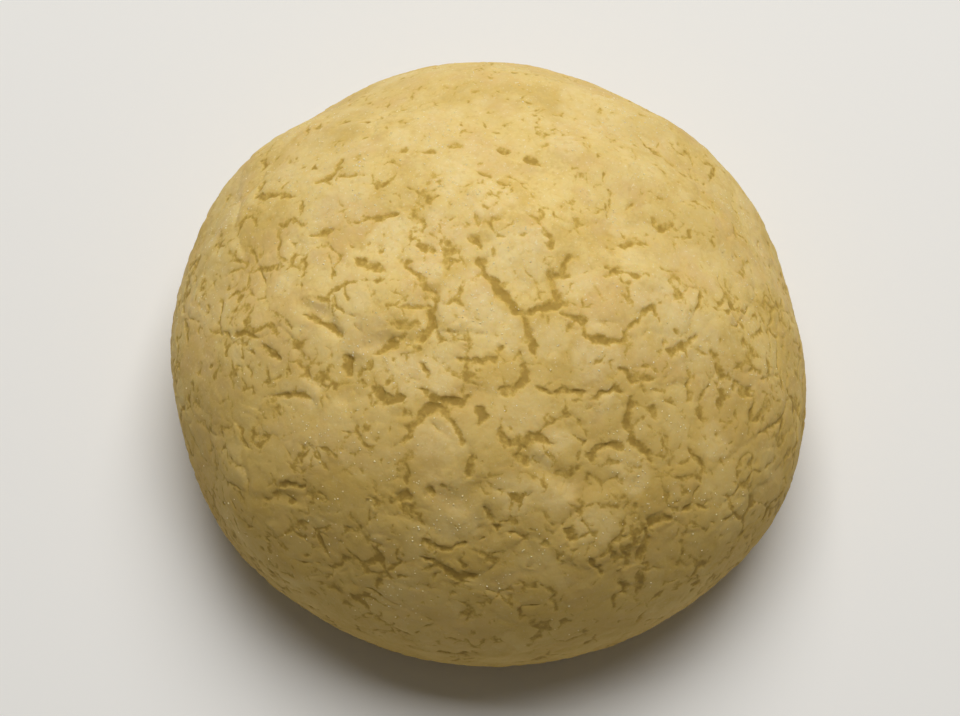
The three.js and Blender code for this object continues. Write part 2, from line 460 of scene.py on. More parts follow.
# The cracks that stand out on the crown. A valley is a broad soft one.
CROWN_CRACKS = (
    Crack(0.75, ((0.6, 5.4), (-1.4, 3.2), (-0.7, 1.2), (1.0, -1.0), (2.8, -3.0), (4.0, -4.8), (5.6, -5.2))),
    Crack(0.55, ((6.8, 11.6), (8.6, 9.6), (10.1, 8.2), (9.9, 5.3))),
    Crack(0.70, ((9.6, 2.6), (10.4, -0.4), (11.5, -3.2), (9.2, -3.8), (5.8, -5.2))),
    Crack(0.55, ((10.3, 1.3), (12.3, 2.2), (13.0, 5.0), (14.6, 4.2))),
    Crack(0.55, ((5.7, -5.2), (6.3, -7.6), (6.5, -9.8), (7.6, -12.6))),
    Crack(0.60, ((11.2, -4.8), (14.9, -6.5), (15.2, -8.7), (19.5, -9.4), (21.2, -8.6), (21.5, -6.4))),
    Crack(0.45, ((21.5, -6.2), (23.5, -5.7), (24.4, -4.0), (26.3, -2.5), (26.6, -5.5))),
    Crack(0.50, ((13.2, -6.2), (11.9, -8.2))),
    Crack(0.50, ((18.6, 1.5), (21.5, 2.4), (24.0, 2.0))),
    Crack(0.45, ((20.0, 7.3), (23.4, 8.3), (26.6, 8.9))),
    Crack(0.60, ((-14.0, 4.2), (-12.0, 1.6), (-10.2, -0.9), (-8.6, -2.2), (-8.4, -4.0))),
    Crack(0.70, ((-8.4, -3.8), (-9.4, -5.8), (-9.2, -7.6), (-10.8, -9.4))),
    Crack(0.50, ((-14.2, -4.5), (-11.6, -4.3), (-8.6, -4.2))),
    Crack(0.60, ((-18.4, -11.6), (-15.6, -10.2), (-13.8, -8.8))),
    Crack(0.45, ((-5.0, -12.6), (-3.2, -13.4), (0.6, -12.8), (2.2, -11.2))),
    Crack(0.60, ((6.2, -14.0), (5.5, -16.3), (3.6, -17.9), (1.4, -18.2))),
    Crack(0.60, ((-11.4, 6.6), (-8.6, 5.7))),
    Crack(0.50, ((-3.2, 7.5), (-1.0, 5.7))),
    Crack(0.55, ((-1.6, 20.2), (0.8, 18.8), (3.2, 17.6))),
    Crack(0.50, ((0.8, 10.2), (3.0, 11.3))),
    Crack(0.55, ((-20.5, 12.2), (-17.0, 12.2), (-14.4, 13.0))),
    Crack(0.50, ((28.0, 14.4), (29.4, 12.8), (32.0, 12.8))),
    Crack(0.60, ((28.0, -8.2), (29.2, -9.4), (30.8, -8.5), (33.2, -6.6))),
    Crack(0.50, ((31.6, -11.4), (32.4, -13.2), (32.0, -17.0))),
    Crack(0.50, ((13.6, -17.4), (16.7, -18.0), (19.9, -16.2), (21.8, -17.4))),
    Crack(0.65, ((23.2, -17.6), (22.5, -20.4), (22.4, -22.6), (23.2, -24.2), (25.2, -25.2), (26.0, -27.0))),
    Crack(0.60, ((-18.4, -16.6), (-16.4, -18.8), (-13.0, -19.2))),
    Crack(0.60, ((-10.6, -17.8), (-8.0, -19.6), (-4.4, -19.8), (-3.0, -19.0))),
    Crack(0.65, ((-13.4, -25.2), (-12.6, -23.2), (-9.6, -21.0), (-7.0, -20.7), (-5.2, -23.4), (-4, -25.8))),
    Crack(0.95, ((-0.7, -21.0), (-1.3, -22.6))),
    Crack(0.75, ((1.8, -23.2), (2.8, -26.3))),
    Crack(0.60, ((5.4, -26.6), (6.2, -24.6), (7.8, -24.8), (9.6, -25.6))),
    Crack(0.60, ((3.8, -27.6), (6.2, -28.8))),
    Crack(0.90, ((16.8, -26.6), (16.2, -28.0))),
    Crack(0.50, ((16.8, -26.4), (19.5, -25.2), (22.0, -25.4))),
    Crack(0.55, ((-0.4, -35.0), (1.4, -38.0))),
    Crack(0.45, ((25.4, -35.4), (28.9, -34.2))),
    Crack(0.45, ((-10.4, -39.2), (-7.0, -41.2), (-3.8, -40.2))),
    Crack(0.55, ((-37.5, 24.0), (-38.0, 21.0), (-35.0, 18.8), (-31.0, 18.6))),
    Crack(0.50, ((-28.0, 20.2), (-25.6, 21.0), (-24.0, 24.0))),
    Crack(0.40, ((-25.0, 21.0), (-20.0, 20.2))),
    Crack(0.40, ((-29.4, 11.2), (-25.8, 11.0))),
    Crack(0.55, ((-11.2, 24.0), (-8.8, 24.2))),
    Crack(0.45, ((-14.8, 36.0), (-13.2, 36.2))),
    Crack(0.45, ((-21.2, 33.2), (-19.8, 33.4))),
    Crack(0.60, ((-21.4, 4.8), (-18.6, 3.2), (-16.4, 1.6))),
    Crack(0.50, ((-6.2, 25.7), (-4.4, 25.3))),
    Crack(0.55, ((1.2, 25.4), (3.2, 24.8))),
    Crack(0.55, ((6.2, 23.7), (8.8, 22.9))),
    Crack(0.50, ((-11.0, -13.2), (-10.4, -15.8))),
    Crack(0.70, ((-11.0, -8.6), (-11.2, -10.4))),
    Crack(0.45, ((7.8, -17.4), (11.0, -18.3), (13.6, -17.4))),
    Crack(0.55, ((20.2, -13.0), (23.0, -14.7), (26.0, -14.2))),
    Crack(0.75, ((-2.2, -28.0), (-2.6, -30.2))),
    Crack(0.65, ((25.3, -18.4), (26.7, -20.2))),
    Crack(0.55, ((-9.9, -31.4), (-9.2, -33.2))),
    Crack(0.50, ((-14.8, -33.7), (-12.4, -32.7))),
    Crack(0.60, ((11.8, -37.5), (13.6, -38.5))),
    Crack(0.65, ((-10.5, -42.2), (-8.0, -43.0), (-5.5, -44.6), (-2.6, -45.0))),
    Crack(0.40, ((8.4, -40.0), (10.6, -40.3))),
    Crack(0.45, ((25.3, -36.6), (24.2, -41.4))),
    Crack(0.50, ((16.5, -40.8), (18.1, -43.6))),
    Crack(0.50, ((35.4, -8.4), (37.5, -12.6))),
    Crack(0.55, ((39.2, -12.6), (41.8, -14.3))),
    Crack(0.50, ((31.8, -23.8), (34.2, -27.2))),
    Crack(0.90, ((-23.8, -11.2), (-22.8, -14.6))),
    Crack(0.60, ((-33.4, -29.2), (-29.4, -30.1))),
    Crack(0.55, ((-30.2, -3.4), (-26.6, -5.8), (-24.4, -8.2))),
    Crack(0.55, ((-37.2, -7.4), (-34.4, -10.2))),
)
VALLEYS = (
    Crack(2.4, ((4.5, -27.8), (11.5, -30.6), (20.5, -31.0))),
    Crack(2.0, ((-9.5, -33.0), (-5.0, -34.0), (-0.5, -32.4))),
    Crack(1.4, ((-22.0, -10.5), (-17.0, -10.4), (-11.0, -8.4))),
    Crack(2.6, ((-23.6, -11.5), (-22.4, -18.5))),
    Crack(1.8, ((-31.0, -1.5), (-27.0, -5.0), (-24.0, -8.2))),
    Crack(1.8, ((-10.5, -20.6), (-5.0, -20.0), (-1.0, -17.4))),
    Crack(1.8, ((-9.6, -1.5), (-9.4, -8.5))),
    Crack(1.6, ((-33.0, -31.0), (-28.0, -31.4))),
    Crack(1.4, ((10.6, 1.5), (11.2, -3.5))),
)

# Where melted sugar has frosted the crown: the middle, x and y, and the radius of each patch, from above.
FROST_PATCHES = (
    (5, 4, 5.2), (-4, -4, 4.6), (0, -7, 3.6), (4, -8, 2.4), (-14, -15, 4.0), (-8, -15, 2.8),
    (17, -12, 3.8), (19, -19, 2.4), (9, -9, 3.4), (30, -3, 4.6), (31, -8, 2.0), (14, 0, 3.0),
    (-17, 8, 3.2), (-12, 9, 3.6), (-22, 14, 1.8), (-6, 20, 3.4), (0, 15, 3.6), (-10, 2, 2.4),
    (10, -27, 2.9), (22, -29, 3.0), (-8, -25, 4.2), (-29, -16, 2.6), (-28, -25, 2.4), (4, -33, 3.6),
    (10, -33, 3.0), (17, -37, 3.4), (-5, -37, 3.0), (5, -21, 4.2), (-1, 36, 2.4), (13, 27, 3.0),
    (-14, 27, 2.6), (22, 12, 3.0), (-34, 3, 2.6), (36, -22, 2.6),
)  # fmt: skip


@dataclass(frozen=True)
class PlateMap:
    """The plates that the crust has split into."""

    form: BunForm
    count: int = 300
    stray: float = 0.39
    room: float = 0.85
    bend_share: float = 0.012
    bends: tuple[Waves, ...] = (Waves(6, 12, 34, 21), Waves(6, 12, 34, 31), Waves(6, 12, 34, 41))

    @cached_property
    def centres(self) -> Array:
        """The crown's own plates, then an even spiral over the sphere, each strayed by its own amount."""
        own = np.array([self.form.direction_above(x, y) for x, y in CROWN_PLATES])
        index = np.arange(self.count)
        spacing = math.sqrt(4 * math.pi / self.count)
        spiral = unit_vectors(1 - (2 * index + 1) / self.count, index * GOLDEN_ANGLE)
        spiral = spiral + scattered_directions(self.count, 51) * self.stray * spacing
        spiral = spiral / np.linalg.norm(spiral, axis=-1, keepdims=True)
        apart = np.linalg.norm(spiral[:, None] - own[None], axis=-1).min(axis=1)
        return np.concatenate([own, spiral[apart >= self.room * spacing]])

    def bent(self, directions: Array) -> Array:
        """Move directions a little by the waves that bend the cracks."""
        push = np.stack([waves.at(directions) for waves in self.bends], axis=-1)
        bent = directions + self.bend_share * push
        return bent / np.linalg.norm(bent, axis=-1, keepdims=True)

    def at(self, directions: Array, jag: Array) -> tuple[Array, Array]:
        """Find the plate at each direction.

        Args:
            directions: Unit rows.
            jag: A small further push for each, in millimetres, that makes the cracks jagged.

        Returns:
            The plate's number, and the way to its nearest crack in millimetres.
        """
        bent = self.bent(directions) + jag / self.form.spread
        bent = bent / np.linalg.norm(bent, axis=-1, keepdims=True)
        number = np.empty(len(bent), int)
        to_crack = np.empty(len(bent))
        for rows in np.array_split(np.arange(len(bent)), max(1, len(bent) // 40000)):
            near = bent[rows] @ self.centres.T
            order = np.argpartition(-near, 1, axis=1)[:, :2]
            pair = np.take_along_axis(near, order, axis=1)
            swap = pair[:, 0] < pair[:, 1]
            order[swap] = order[swap][:, ::-1]
            pair[swap] = pair[swap][:, ::-1]
            apart = np.linalg.norm(self.centres[order[:, 1]] - self.centres[order[:, 0]], axis=-1)
            number[rows] = order[:, 0]
            to_crack[rows] = (pair[:, 0] - pair[:, 1]) / apart
        return number, to_crack * self.form.spread


# ---------------------------------------------------------------------------------------------------------
# Shader trees
# ---------------------------------------------------------------------------------------------------------


class Signal:
    """A shader socket, with operators that add Math nodes when it carries one number."""

    def __init__(self, tree: "Shader", socket: bpy.types.NodeSocket) -> None:
        """Wrap one output socket of a tree."""
        self.tree = tree
        self.socket = socket

    def __add__(self, other: "Signal | float") -> "Signal":
        """Add a number."""
        return self.tree.math("ADD", self, other)

    def __sub__(self, other: "Signal | float") -> "Signal":
        """Take a number away."""
        return self.tree.math("SUBTRACT", self, other)

    def __rsub__(self, other: float) -> "Signal":
        """Take this from a number."""
        return self.tree.math("SUBTRACT", other, self)

    def __mul__(self, other: "Signal | float") -> "Signal":
        """Multiply by a number."""
        return self.tree.math("MULTIPLY", self, other)

    __radd__ = __add__
    __rmul__ = __mul__

    def between(self, low: float, high: float) -> "Signal":
        """Ease from 0 to 1 while this goes from low to high.

        Args:
            low: Where the result leaves 0.
            high: Where the result reaches 1.

        Returns:
            The eased signal.
        """
        settings = {"interpolation_type": "SMOOTHSTEP", "clamp": True}
        sockets = {"Value": self, "From Min": low, "From Max": high}
        return self.tree.node("ShaderNodeMapRange", settings, sockets, "Result")


class Shader:
    """One material's node tree."""

    def __init__(self, name: str) -> None:
        """Start an empty material with a Principled shader on its output."""
        self.material = bpy.data.materials.new(name)
        self.material.use_nodes = True
        self.tree = self.material.node_tree
        self.tree.nodes.clear()
        self.surface = self.tree.nodes.new("ShaderNodeBsdfPrincipled")
        output = self.tree.nodes.new("ShaderNodeOutputMaterial")
        self.tree.links.new(self.surface.outputs["BSDF"], output.inputs["Surface"])

    def node(
        self,
        kind: str,
        settings: dict[str, object],
        sockets: dict[str, "Signal | float | Colour"],
        output: str = "",
    ) -> Signal:
        """Add a node.

        Args:
            kind: The node's type.
            settings: Its properties, set first.
            sockets: A value or a signal for each input, by name or identifier.
            output: The identifier of the output to give back, or nothing for the first.

        Returns:
            The chosen output.
        """
        node = self.tree.nodes.new(kind)
        for name, value in settings.items():
            setattr(node, name, value)
        for name, value in sockets.items():
            self.connect(find_socket(node.inputs, name), value)
        chosen = find_socket(node.outputs, output) if output else node.outputs[0]
        return Signal(self, chosen)

    def connect(self, socket: bpy.types.NodeSocket, value: "Signal | float | Colour") -> None:
        """Link a signal to a socket, or set the socket's own value."""
        if isinstance(value, Signal):
            self.tree.links.new(value.socket, socket)
        elif socket.type == "RGBA":
            socket.default_value = (*value, 1.0)
        else:
            socket.default_value = value

    def finish(self, **sockets: "Signal | float | Colour") -> bpy.types.Material:
        """Set the Principled shader's sockets, named with underscores, and give the material."""
        for name, value in sockets.items():
            self.connect(self.surface.inputs[name.replace("_", " ")], value)
        return self.material

    def math(self, operation: str, first: "Signal | float", second: "Signal | float") -> Signal:
        """Add a Math node of two numbers."""
        return self.node("ShaderNodeMath", {"operation": operation}, {"Value": first, "Value_001": second})

    def mark(self, mark: Mark) -> Signal:
        """Read one of the mesh's own marks."""
        settings = {"attribute_name": mark.value, "attribute_type": "GEOMETRY"}
        return self.node("ShaderNodeAttribute", settings, {}, "Fac")

    def noise(self, size: float, detail: float = 2.0, offset: float = 0.0) -> Signal:
        """Read smooth noise at the object's own place.

        Args:
            size: The size of one swell, in millimetres.
            detail: How many finer layers it carries.
            offset: Where the noise starts, so that two of one size differ.

        Returns:
            Noise from 0 to 1, mostly near the middle.
        """
        place = self.node("ShaderNodeTexCoord", {}, {}, "Object")
        moved = self.node("ShaderNodeMapping", {}, {"Vector": place, "Location": (offset, 0.0, 0.0)})
        sockets = {"Vector": moved, "Scale": 1 / (size * MM), "Detail": detail, "Roughness": 0.55}
        return self.node("ShaderNodeTexNoise", {"noise_dimensions": "3D"}, sockets, "Fac")

    def crumbs(self, size: float, stir: float) -> Signal:
        """Read how far the surface is from the edges of small crumbs.

        Args:
            size: The size of one crumb, in millimetres.
            stir: How far the crumbs are pushed out of shape, in millimetres.

        Returns:
            0 at a crumb's edge, and about 0.5 in its middle.
        """
        place = self.node("ShaderNodeTexCoord", {}, {}, "Object")
        sockets = {"Vector": place, "Scale": 1 / (size * MM), "Detail": 2.0}
        push = self.node("ShaderNodeTexNoise", {"noise_dimensions": "3D"}, sockets, "Color")
        reach = (stir * MM, stir * MM, stir * MM)
        sockets = {"Vector": push, "Vector_001": reach, "Vector_002": place}
        stirred = self.node("ShaderNodeVectorMath", {"operation": "MULTIPLY_ADD"}, sockets)
        sockets = {"Vector": stirred, "Scale": 1 / (size * MM)}
        return self.node("ShaderNodeTexVoronoi", {"feature": "DISTANCE_TO_EDGE"}, sockets, "Distance")

    def blend(self, share: "Signal | float", first: "Signal | Colour", second: "Signal | Colour") -> Signal:
        """Mix two colours.

        Args:
            share: How much of the second there is.
            first: The colour where the share is 0.
            second: The colour where the share is 1.

        Returns:
            The mixed colour.
        """
        sockets = {"Factor_Float": share, "A_Color": first, "B_Color": second}
        settings = {"data_type": "RGBA", "blend_type": "MIX"}
        return self.node("ShaderNodeMix", settings, sockets, "Result_Color")

    def bump(self, height: Signal, depth: float) -> Signal:
        """Tilt the surface by a height signal, with a depth in millimetres at a height of 1."""
        return self.node("ShaderNodeBump", {}, {"Height": height, "Strength": 1.0, "Distance": depth * MM})


def find_socket(sockets: bpy.types.bpy_prop_collection, name: str) -> bpy.types.NodeSocket:
    """Find a node's socket by its identifier, or else by its name."""
    return next(
        (socket for socket in sockets if socket.identifier == name),
        sockets.get(name),
    )


# ---------------------------------------------------------------------------------------------------------
# Finishes
# ---------------------------------------------------------------------------------------------------------


@dataclass(frozen=True)
class CrustFinish:
    """Pale yellow cookie crust, deeper gold in its cracks, with frosted patches of melted sugar."""

    pale: Colour = (0.82, 0.63, 0.25)
    gold: Colour = (0.69, 0.49, 0.15)
    frost: Colour = (0.85, 0.675, 0.32)
    speck: Colour = (0.60, 0.40, 0.10)
    fleck: Colour = (0.93, 0.84, 0.58)
    crack: Colour = (0.61, 0.41, 0.085)
    core: Colour = (0.45, 0.285, 0.05)
    # Baked tan for blotches, and also the colour of painted shade on the front, sides and heel.
    toast_and_shade: Colour = (0.51, 0.34, 0.075)
    # The cracks and their cores under the same baked brown and painted shade.
    toast_and_shade_crack: Colour = (0.42, 0.275, 0.054)
    toast_and_shade_core: Colour = (0.31, 0.195, 0.036)
    blush: Colour = (0.73, 0.50, 0.215)
    glow: Colour = (0.77, 0.52, 0.115)
    frost_share: float = 0.75
    speck_share: float = 0.3
    crumb_share: float = 0.12
    fleck_share: float = 0.45
    blush_share: float = 0.55
    mottle_share: float = 0.22
    glow_share: float = 0.3
    crack_share: float = 0.9
    bump_depth: float = 0.038

    def material(self) -> bpy.types.Material:
        """Build the crust's material.

        Returns:
            The finished material.
        """
        shader = Shader("cookie_crust")
        fine = shader.noise(0.45, 2.0)
        small = shader.noise(1.1, 3.0, 0.7)
        crumbs = shader.crumbs(2.2, 1.8)
        # Baked brown at the heel and foot, and painted shade in front and at the sides.
        brown = shader.mark(Mark.BROWN)
        side = shader.mark(Mark.CRACK) + (small - 0.5) * 1.2 + (fine - 0.5) * 0.5
        crack = 1 - side.between(-0.12, 0.18)
        core = 1 - side.between(-0.42, 0.0)
        coats = (
            (shader.noise(8.0, 3.0, 0.5).between(0.47, 0.62) * self.blush_share, self.blush),
            (shader.mark(Mark.FROST) * small.between(0.2, 0.62) * self.frost_share, self.frost),
            (shader.noise(1.3, 1.0, 0.4).between(0.64, 0.71) * self.speck_share, self.speck),
            ((0.09 - crumbs).between(0.0, 0.09) * self.crumb_share, self.speck),
            (shader.noise(0.5, 1.0, 0.9).between(0.66, 0.73) * self.fleck_share, self.fleck),
            (shader.noise(13.0, 3.0, 0.6).between(0.48, 0.64) * self.mottle_share, self.toast_and_shade),
            ((1 - side.between(0.0, 1.0)) * self.glow_share, self.glow),
            # Painted shade and baked brown, as toast colour.
            (brown, self.toast_and_shade),
            (crack * self.crack_share, shader.blend(brown, self.crack, self.toast_and_shade_crack)),
            (core, shader.blend(brown, self.core, self.toast_and_shade_core)),
        )
        colour = self.plate_colour(shader, fine, small)
        for share, coat in coats:
            colour = shader.blend(share, colour, coat)
        height = fine * 0.7 + small * 0.9 + crumbs.between(0.0, 0.2) * 0.3 - crack * 0.5
        return shader.finish(
            Base_Color=colour,
            Roughness=0.64 + 0.25 * fine,
            Normal=shader.bump(height, self.bump_depth),
            IOR=1.36,
            Subsurface_Weight=0.2,
            Subsurface_Radius=(1.0, 0.6, 0.28),
            Subsurface_Scale=0.9 * MM,
        )

    def plate_colour(self, shader: Shader, fine: Signal, small: Signal) -> Signal:
        """Colour the plates between pale and gold, each with its own tone, and darker gold as painted shade
        in the broad valleys.

        Args:
            shader: The crust's shader.
            fine: Its finest noise.
            small: Its next finest noise.

        Returns:
            The plates' colour, before anything coats it.
        """
        shade = (shader.noise(9.0, 3.0) - 0.5) * 1.7 + (shader.noise(2.8, 2.0, 0.2) - 0.5) * 1.4
        # The tone mark carries each plate's own tone and painted shade in the broad valleys.
        shade = shade + shader.mark(Mark.TONE_AND_SHADE) * 1.35 + (small - 0.5) * 1.6 + (fine - 0.5) * 0.9 - 0.25
        return shader.blend(shade.between(0.0, 1.0), self.pale, self.gold)


@dataclass(frozen=True)
class BaseFinish:
    """Golden brown bread, where the roll stood on its tray."""

    brown: Colour = (0.36, 0.17, 0.05)
    tan: Colour = (0.56, 0.33, 0.12)
    dark: Colour = (0.20, 0.08, 0.025)

    def material(self) -> bpy.types.Material:
        """Build the underside's material.

        Returns:
            The finished material.
        """
        shader = Shader("bread_base")
        colour = shader.blend(shader.noise(14.0, 4.0).between(0.35, 0.68), self.brown, self.tan)
        colour = shader.blend(shader.noise(3.0, 3.0, 0.3).between(0.6, 0.8) * 0.6, colour, self.dark)
        colour = shader.blend(shader.mark(Mark.BROWN) * 0.7, colour, self.tan)
        grain = shader.noise(0.8, 3.0) + shader.noise(2.4, 2.0, 0.7)
        return shader.finish(
            Base_Color=colour,
            Roughness=0.55 + 0.2 * shader.noise(2.0, 2.0, 0.9),
            Normal=shader.bump(grain, 0.18),
            IOR=1.42,
        )


@dataclass(frozen=True)
class SugarFinish:
    """Sugar crystals: most have melted into the crust, and a few are white and clear."""

    melted: Colour = (0.86, 0.71, 0.36)
    white: Colour = (0.95, 0.87, 0.64)

    def material(self) -> bpy.types.Material:
        """Build the crystals' material.

        Returns:
            The finished material.
        """
        shader = Shader("sugar")
        clear = shader.mark(Mark.CLEAR)
        tint = shader.noise(0.5, 1.0).between(0.3, 0.7) * 0.12
        return shader.finish(
            Base_Color=shader.blend(clear + tint, self.melted, self.white),
            Roughness=0.6 - 0.15 * clear,
            IOR=1.54,
            Subsurface_Weight=0.5,
            Subsurface_Radius=(1.0, 0.8, 0.5),
            Subsurface_Scale=0.3 * MM,
        )


# ---------------------------------------------------------------------------------------------------------
# Mesh helpers
# ---------------------------------------------------------------------------------------------------------


def add_piece(name: str, mesh: bpy.types.Mesh) -> bpy.types.Object:
    """Put a mesh into the scene as a piece at the origin."""
    piece = bpy.data.objects.new(name, mesh)
    bpy.context.scene.collection.objects.link(piece)
    return piece


def sphere_mesh(name: str, subdivisions: int) -> bpy.types.Mesh:
    """Make a unit sphere of even triangles.

    Args:
        name: The mesh's name.
        subdivisions: How often the icosahedron's faces are divided.

    Returns:
        The mesh, shaded smooth.
    """
    mesh = bpy.data.meshes.new(name)
    builder = bmesh.new()
    bmesh.ops.create_icosphere(builder, subdivisions=subdivisions, radius=1.0)
    for face in builder.faces:
        face.smooth = True
    builder.to_mesh(mesh)
    builder.free()
    return mesh


def read_points(mesh: bpy.types.Mesh) -> Array:
    """Read a mesh's points, one row each, in its own unit."""
    flat = np.empty(len(mesh.vertices) * 3)
    mesh.vertices.foreach_get("co", flat)
    return flat.reshape(-1, 3)


def sphere_directions(mesh: bpy.types.Mesh) -> Array:
    """Read the directions of a unit sphere's points."""
    directions = read_points(mesh)
    return directions / np.linalg.norm(directions, axis=-1, keepdims=True)


def write_points(mesh: bpy.types.Mesh, points: Array) -> None:
    """Move a mesh's points, given in millimetres."""
    mesh.vertices.foreach_set("co", (points * MM).ravel())
    mesh.update()


def write_mark(mesh: bpy.types.Mesh, mark: Mark, values: Array) -> None:
    """Store a mark at each of a mesh's points."""
    layer = mesh.attributes.new(mark.value, "FLOAT", "POINT")
    layer.data.foreach_set("value", values.astype(np.float32))


def read_mark(mesh: bpy.types.Mesh, mark: Mark) -> Array:
    """Read a mark at each of a mesh's points."""
    values = np.empty(len(mesh.vertices), np.float32)
    mesh.attributes[mark.value].data.foreach_get("value", values)
    return values


def thin_to(piece: bpy.types.Object, triangles: int) -> None:
    """Collapse the edges that carry the least shape until a piece has few enough triangles.

    Args:
        piece: The piece, made of triangles.
        triangles: How many triangles it may keep.
    """
    modifier = piece.modifiers.new("thin", "DECIMATE")
    modifier.ratio = triangles / len(piece.data.polygons)
    bpy.context.view_layer.update()
    depsgraph = bpy.context.evaluated_depsgraph_get()
    thinned = bpy.data.meshes.new_from_object(piece.evaluated_get(depsgraph), depsgraph=depsgraph)
    piece.modifiers.clear()
    full = piece.data
    thinned.name = full.name
    piece.data = thinned
    bpy.data.meshes.remove(full)


def lay_bake_map(mesh: bpy.types.Mesh, middle: Vector, floor: float) -> None:
    """Flatten a round closed piece into two discs: all that shows from above, and its underside.

    Args:
        mesh: The piece's mesh, in metres.
        middle: The point that the upper disc's directions are taken from, in metres.
        floor: The height under which a face belongs to the underside, in metres.
    """
    points = read_points(mesh)
    corners = np.empty(len(mesh.loops), int)
    mesh.loops.foreach_get("vertex_index", corners)
    totals = np.empty(len(mesh.polygons), int)
    mesh.polygons.foreach_get("loop_total", totals)
    heights = np.empty(len(mesh.polygons) * 3)
    mesh.polygons.foreach_get("center", heights)
    under = np.repeat(heights.reshape(-1, 3)[:, 2] < floor, totals)
    away = points - np.array(middle)
    away = away / np.linalg.norm(away, axis=-1, keepdims=True)
    azimuth = np.arctan2(away[:, 1], away[:, 0])
    upper_middle, upper_radius = UPPER_DISC
    lower_middle, lower_radius = LOWER_DISC
    turn = polar_angles(away) / math.pi * upper_radius
    above = np.array(upper_middle) + turn[:, None] * np.stack([np.cos(azimuth), np.sin(azimuth)], axis=-1)
    span = np.abs(points[:, :2]).max()
    below = np.array(lower_middle) + points[:, :2] / span * lower_radius
    layer = mesh.uv_layers.new(name="OFBake")
    spread = np.where(under[:, None], below[corners], above[corners])
    layer.data.foreach_set("uv", spread.ravel())


# ---------------------------------------------------------------------------------------------------------
# The pieces
# ---------------------------------------------------------------------------------------------------------


@dataclass(frozen=True)
class CrustCracks:
    """The cracks and pits of the crust, each measured as the way to its side. Lengths in millimetres."""

    form: BunForm
    plates: PlateMap
    furthest: float = 2.0
    named_jag: Layers = Layers(((0.55, 2.4, 61), (0.42, 1.0, 62)))
    named_ragged: Layers = Layers(((0.22, 1.8, 64),))
    named_widening: float = 0.1
    seam_jag: Layers = Layers(((0.85, 3.4, 63), (0.42, 1.3, 65)))
    seam_width: Layers = Layers(((0.65, 5.5, 66), (0.4, 2.0, 67), (0.4, 1.1, 96)))
    seam_closing: float = 0.2
    short_spacing: float = 6.2
    short_jag: Layers = Layers(((0.8, 2.2, 68), (0.4, 0.9, 69)))
    short_width: Layers = Layers(((0.5, 4.2, 71), (0.3, 1.6, 72), (0.3, 0.9, 97)))
    dash_spacing: float = 3.6
    dash_jag: Layers = Layers(((0.5, 1.2, 74),))
    dash_width: Layers = Layers(((0.5, 3.1, 75), (0.35, 1.2, 76)))
    dash_closing: float = 0.14
    pit_spacing: float = 3.3
    pit_jag: Layers = Layers(((0.3, 1.0, 78),))
    widest_pit: float = 1.3
    least_pit: float = 0.15
    calm_wander: Layers = Layers(((5.0, 12.0, 95),))
    foot_wander: Layers = Layers(((3.0, 9.0, 98),))

    def calmness(self, points: Array) -> Array:
        """Say how little the crust has split: less behind the crown and near the foot, more in front."""
        across = points[:, 1] + self.calm_wander.noise(points)
        behind = 0.75 * smoothstep(across, 4.0, 26.0) * smoothstep(points[:, 2], 14.0, 30.0)
        front = 0.16 * smoothstep(-across, -4.0, 16.0) - 0.5 * smoothstep(-across, 36.0, 50.0)
        low = 2.5 * (1 - smoothstep(points[:, 2] + self.foot_wander.noise(points), 0.0, 11.0))
        return behind + low - front

    def named(self, points: Array) -> Array:
        """Measure the way to the side of the nearest named crack."""
        jagged = points + self.named_jag.push(points)
        ways = [crack.way_to_side(self.form, jagged, self.furthest * 2) for crack in CROWN_CRACKS]
        return np.min(ways, axis=0) + self.named_ragged.noise(points) - self.named_widening

    def seams(self, directions: Array, points: Array, named: Array) -> tuple[Array, Array, Array]:
        """Open the cracks between the plates a little, here and there.

        Args:
            directions: Unit rows.
            points: The smooth surface's points.
            named: The way to the nearest named crack, beside which the seams stay shut.

        Returns:
            Each point's plate, the way to the plate's edge, and the way to the seam's side.
        """
        number, to_crack = self.plates.at(directions, self.seam_jag.push(points))
        half_width = self.seam_width.noise(points) - self.seam_closing
        half_width = half_width - 0.6 * (1 - smoothstep(named, 0.5, 3.0))
        return number, to_crack, to_crack - half_width

    def short(self, points: Array, named: Array) -> Array:
        """Measure the way to the side of the nearest short crack across a plate.

        Args:
            points: The smooth surface's points.
            named: The way to the nearest named crack, beside which the short ones narrow.

        Returns:
            The way in millimetres, under 0 in a crack.
        """
        cells = Lattice(self.short_spacing, 70).cells_around(points + self.short_jag.push(points))
        half_width = self.short_width.noise(points) - 0.3 * (1 - smoothstep(named, 0.3, 2.0))
        return cells.to_edge - half_width

    def dashes(self, points: Array) -> Array:
        """Measure the way to the side of the nearest tiny crack."""
        cells = Lattice(self.dash_spacing, 73).cells_around(points + self.dash_jag.push(points))
        return cells.to_edge - (self.dash_width.noise(points) - self.dash_closing)

    def pits(self, points: Array) -> Array:
        """Measure the way to the side of the nearest small pit, which some of the cells have."""
        cells = Lattice(self.pit_spacing, 77).cells_around(points + self.pit_jag.push(points))
        radius = self.widest_pit * np.clip(cells.draw - 0.5, 0, 1)
        return np.where(radius > self.least_pit, cells.to_centre - radius, self.furthest)


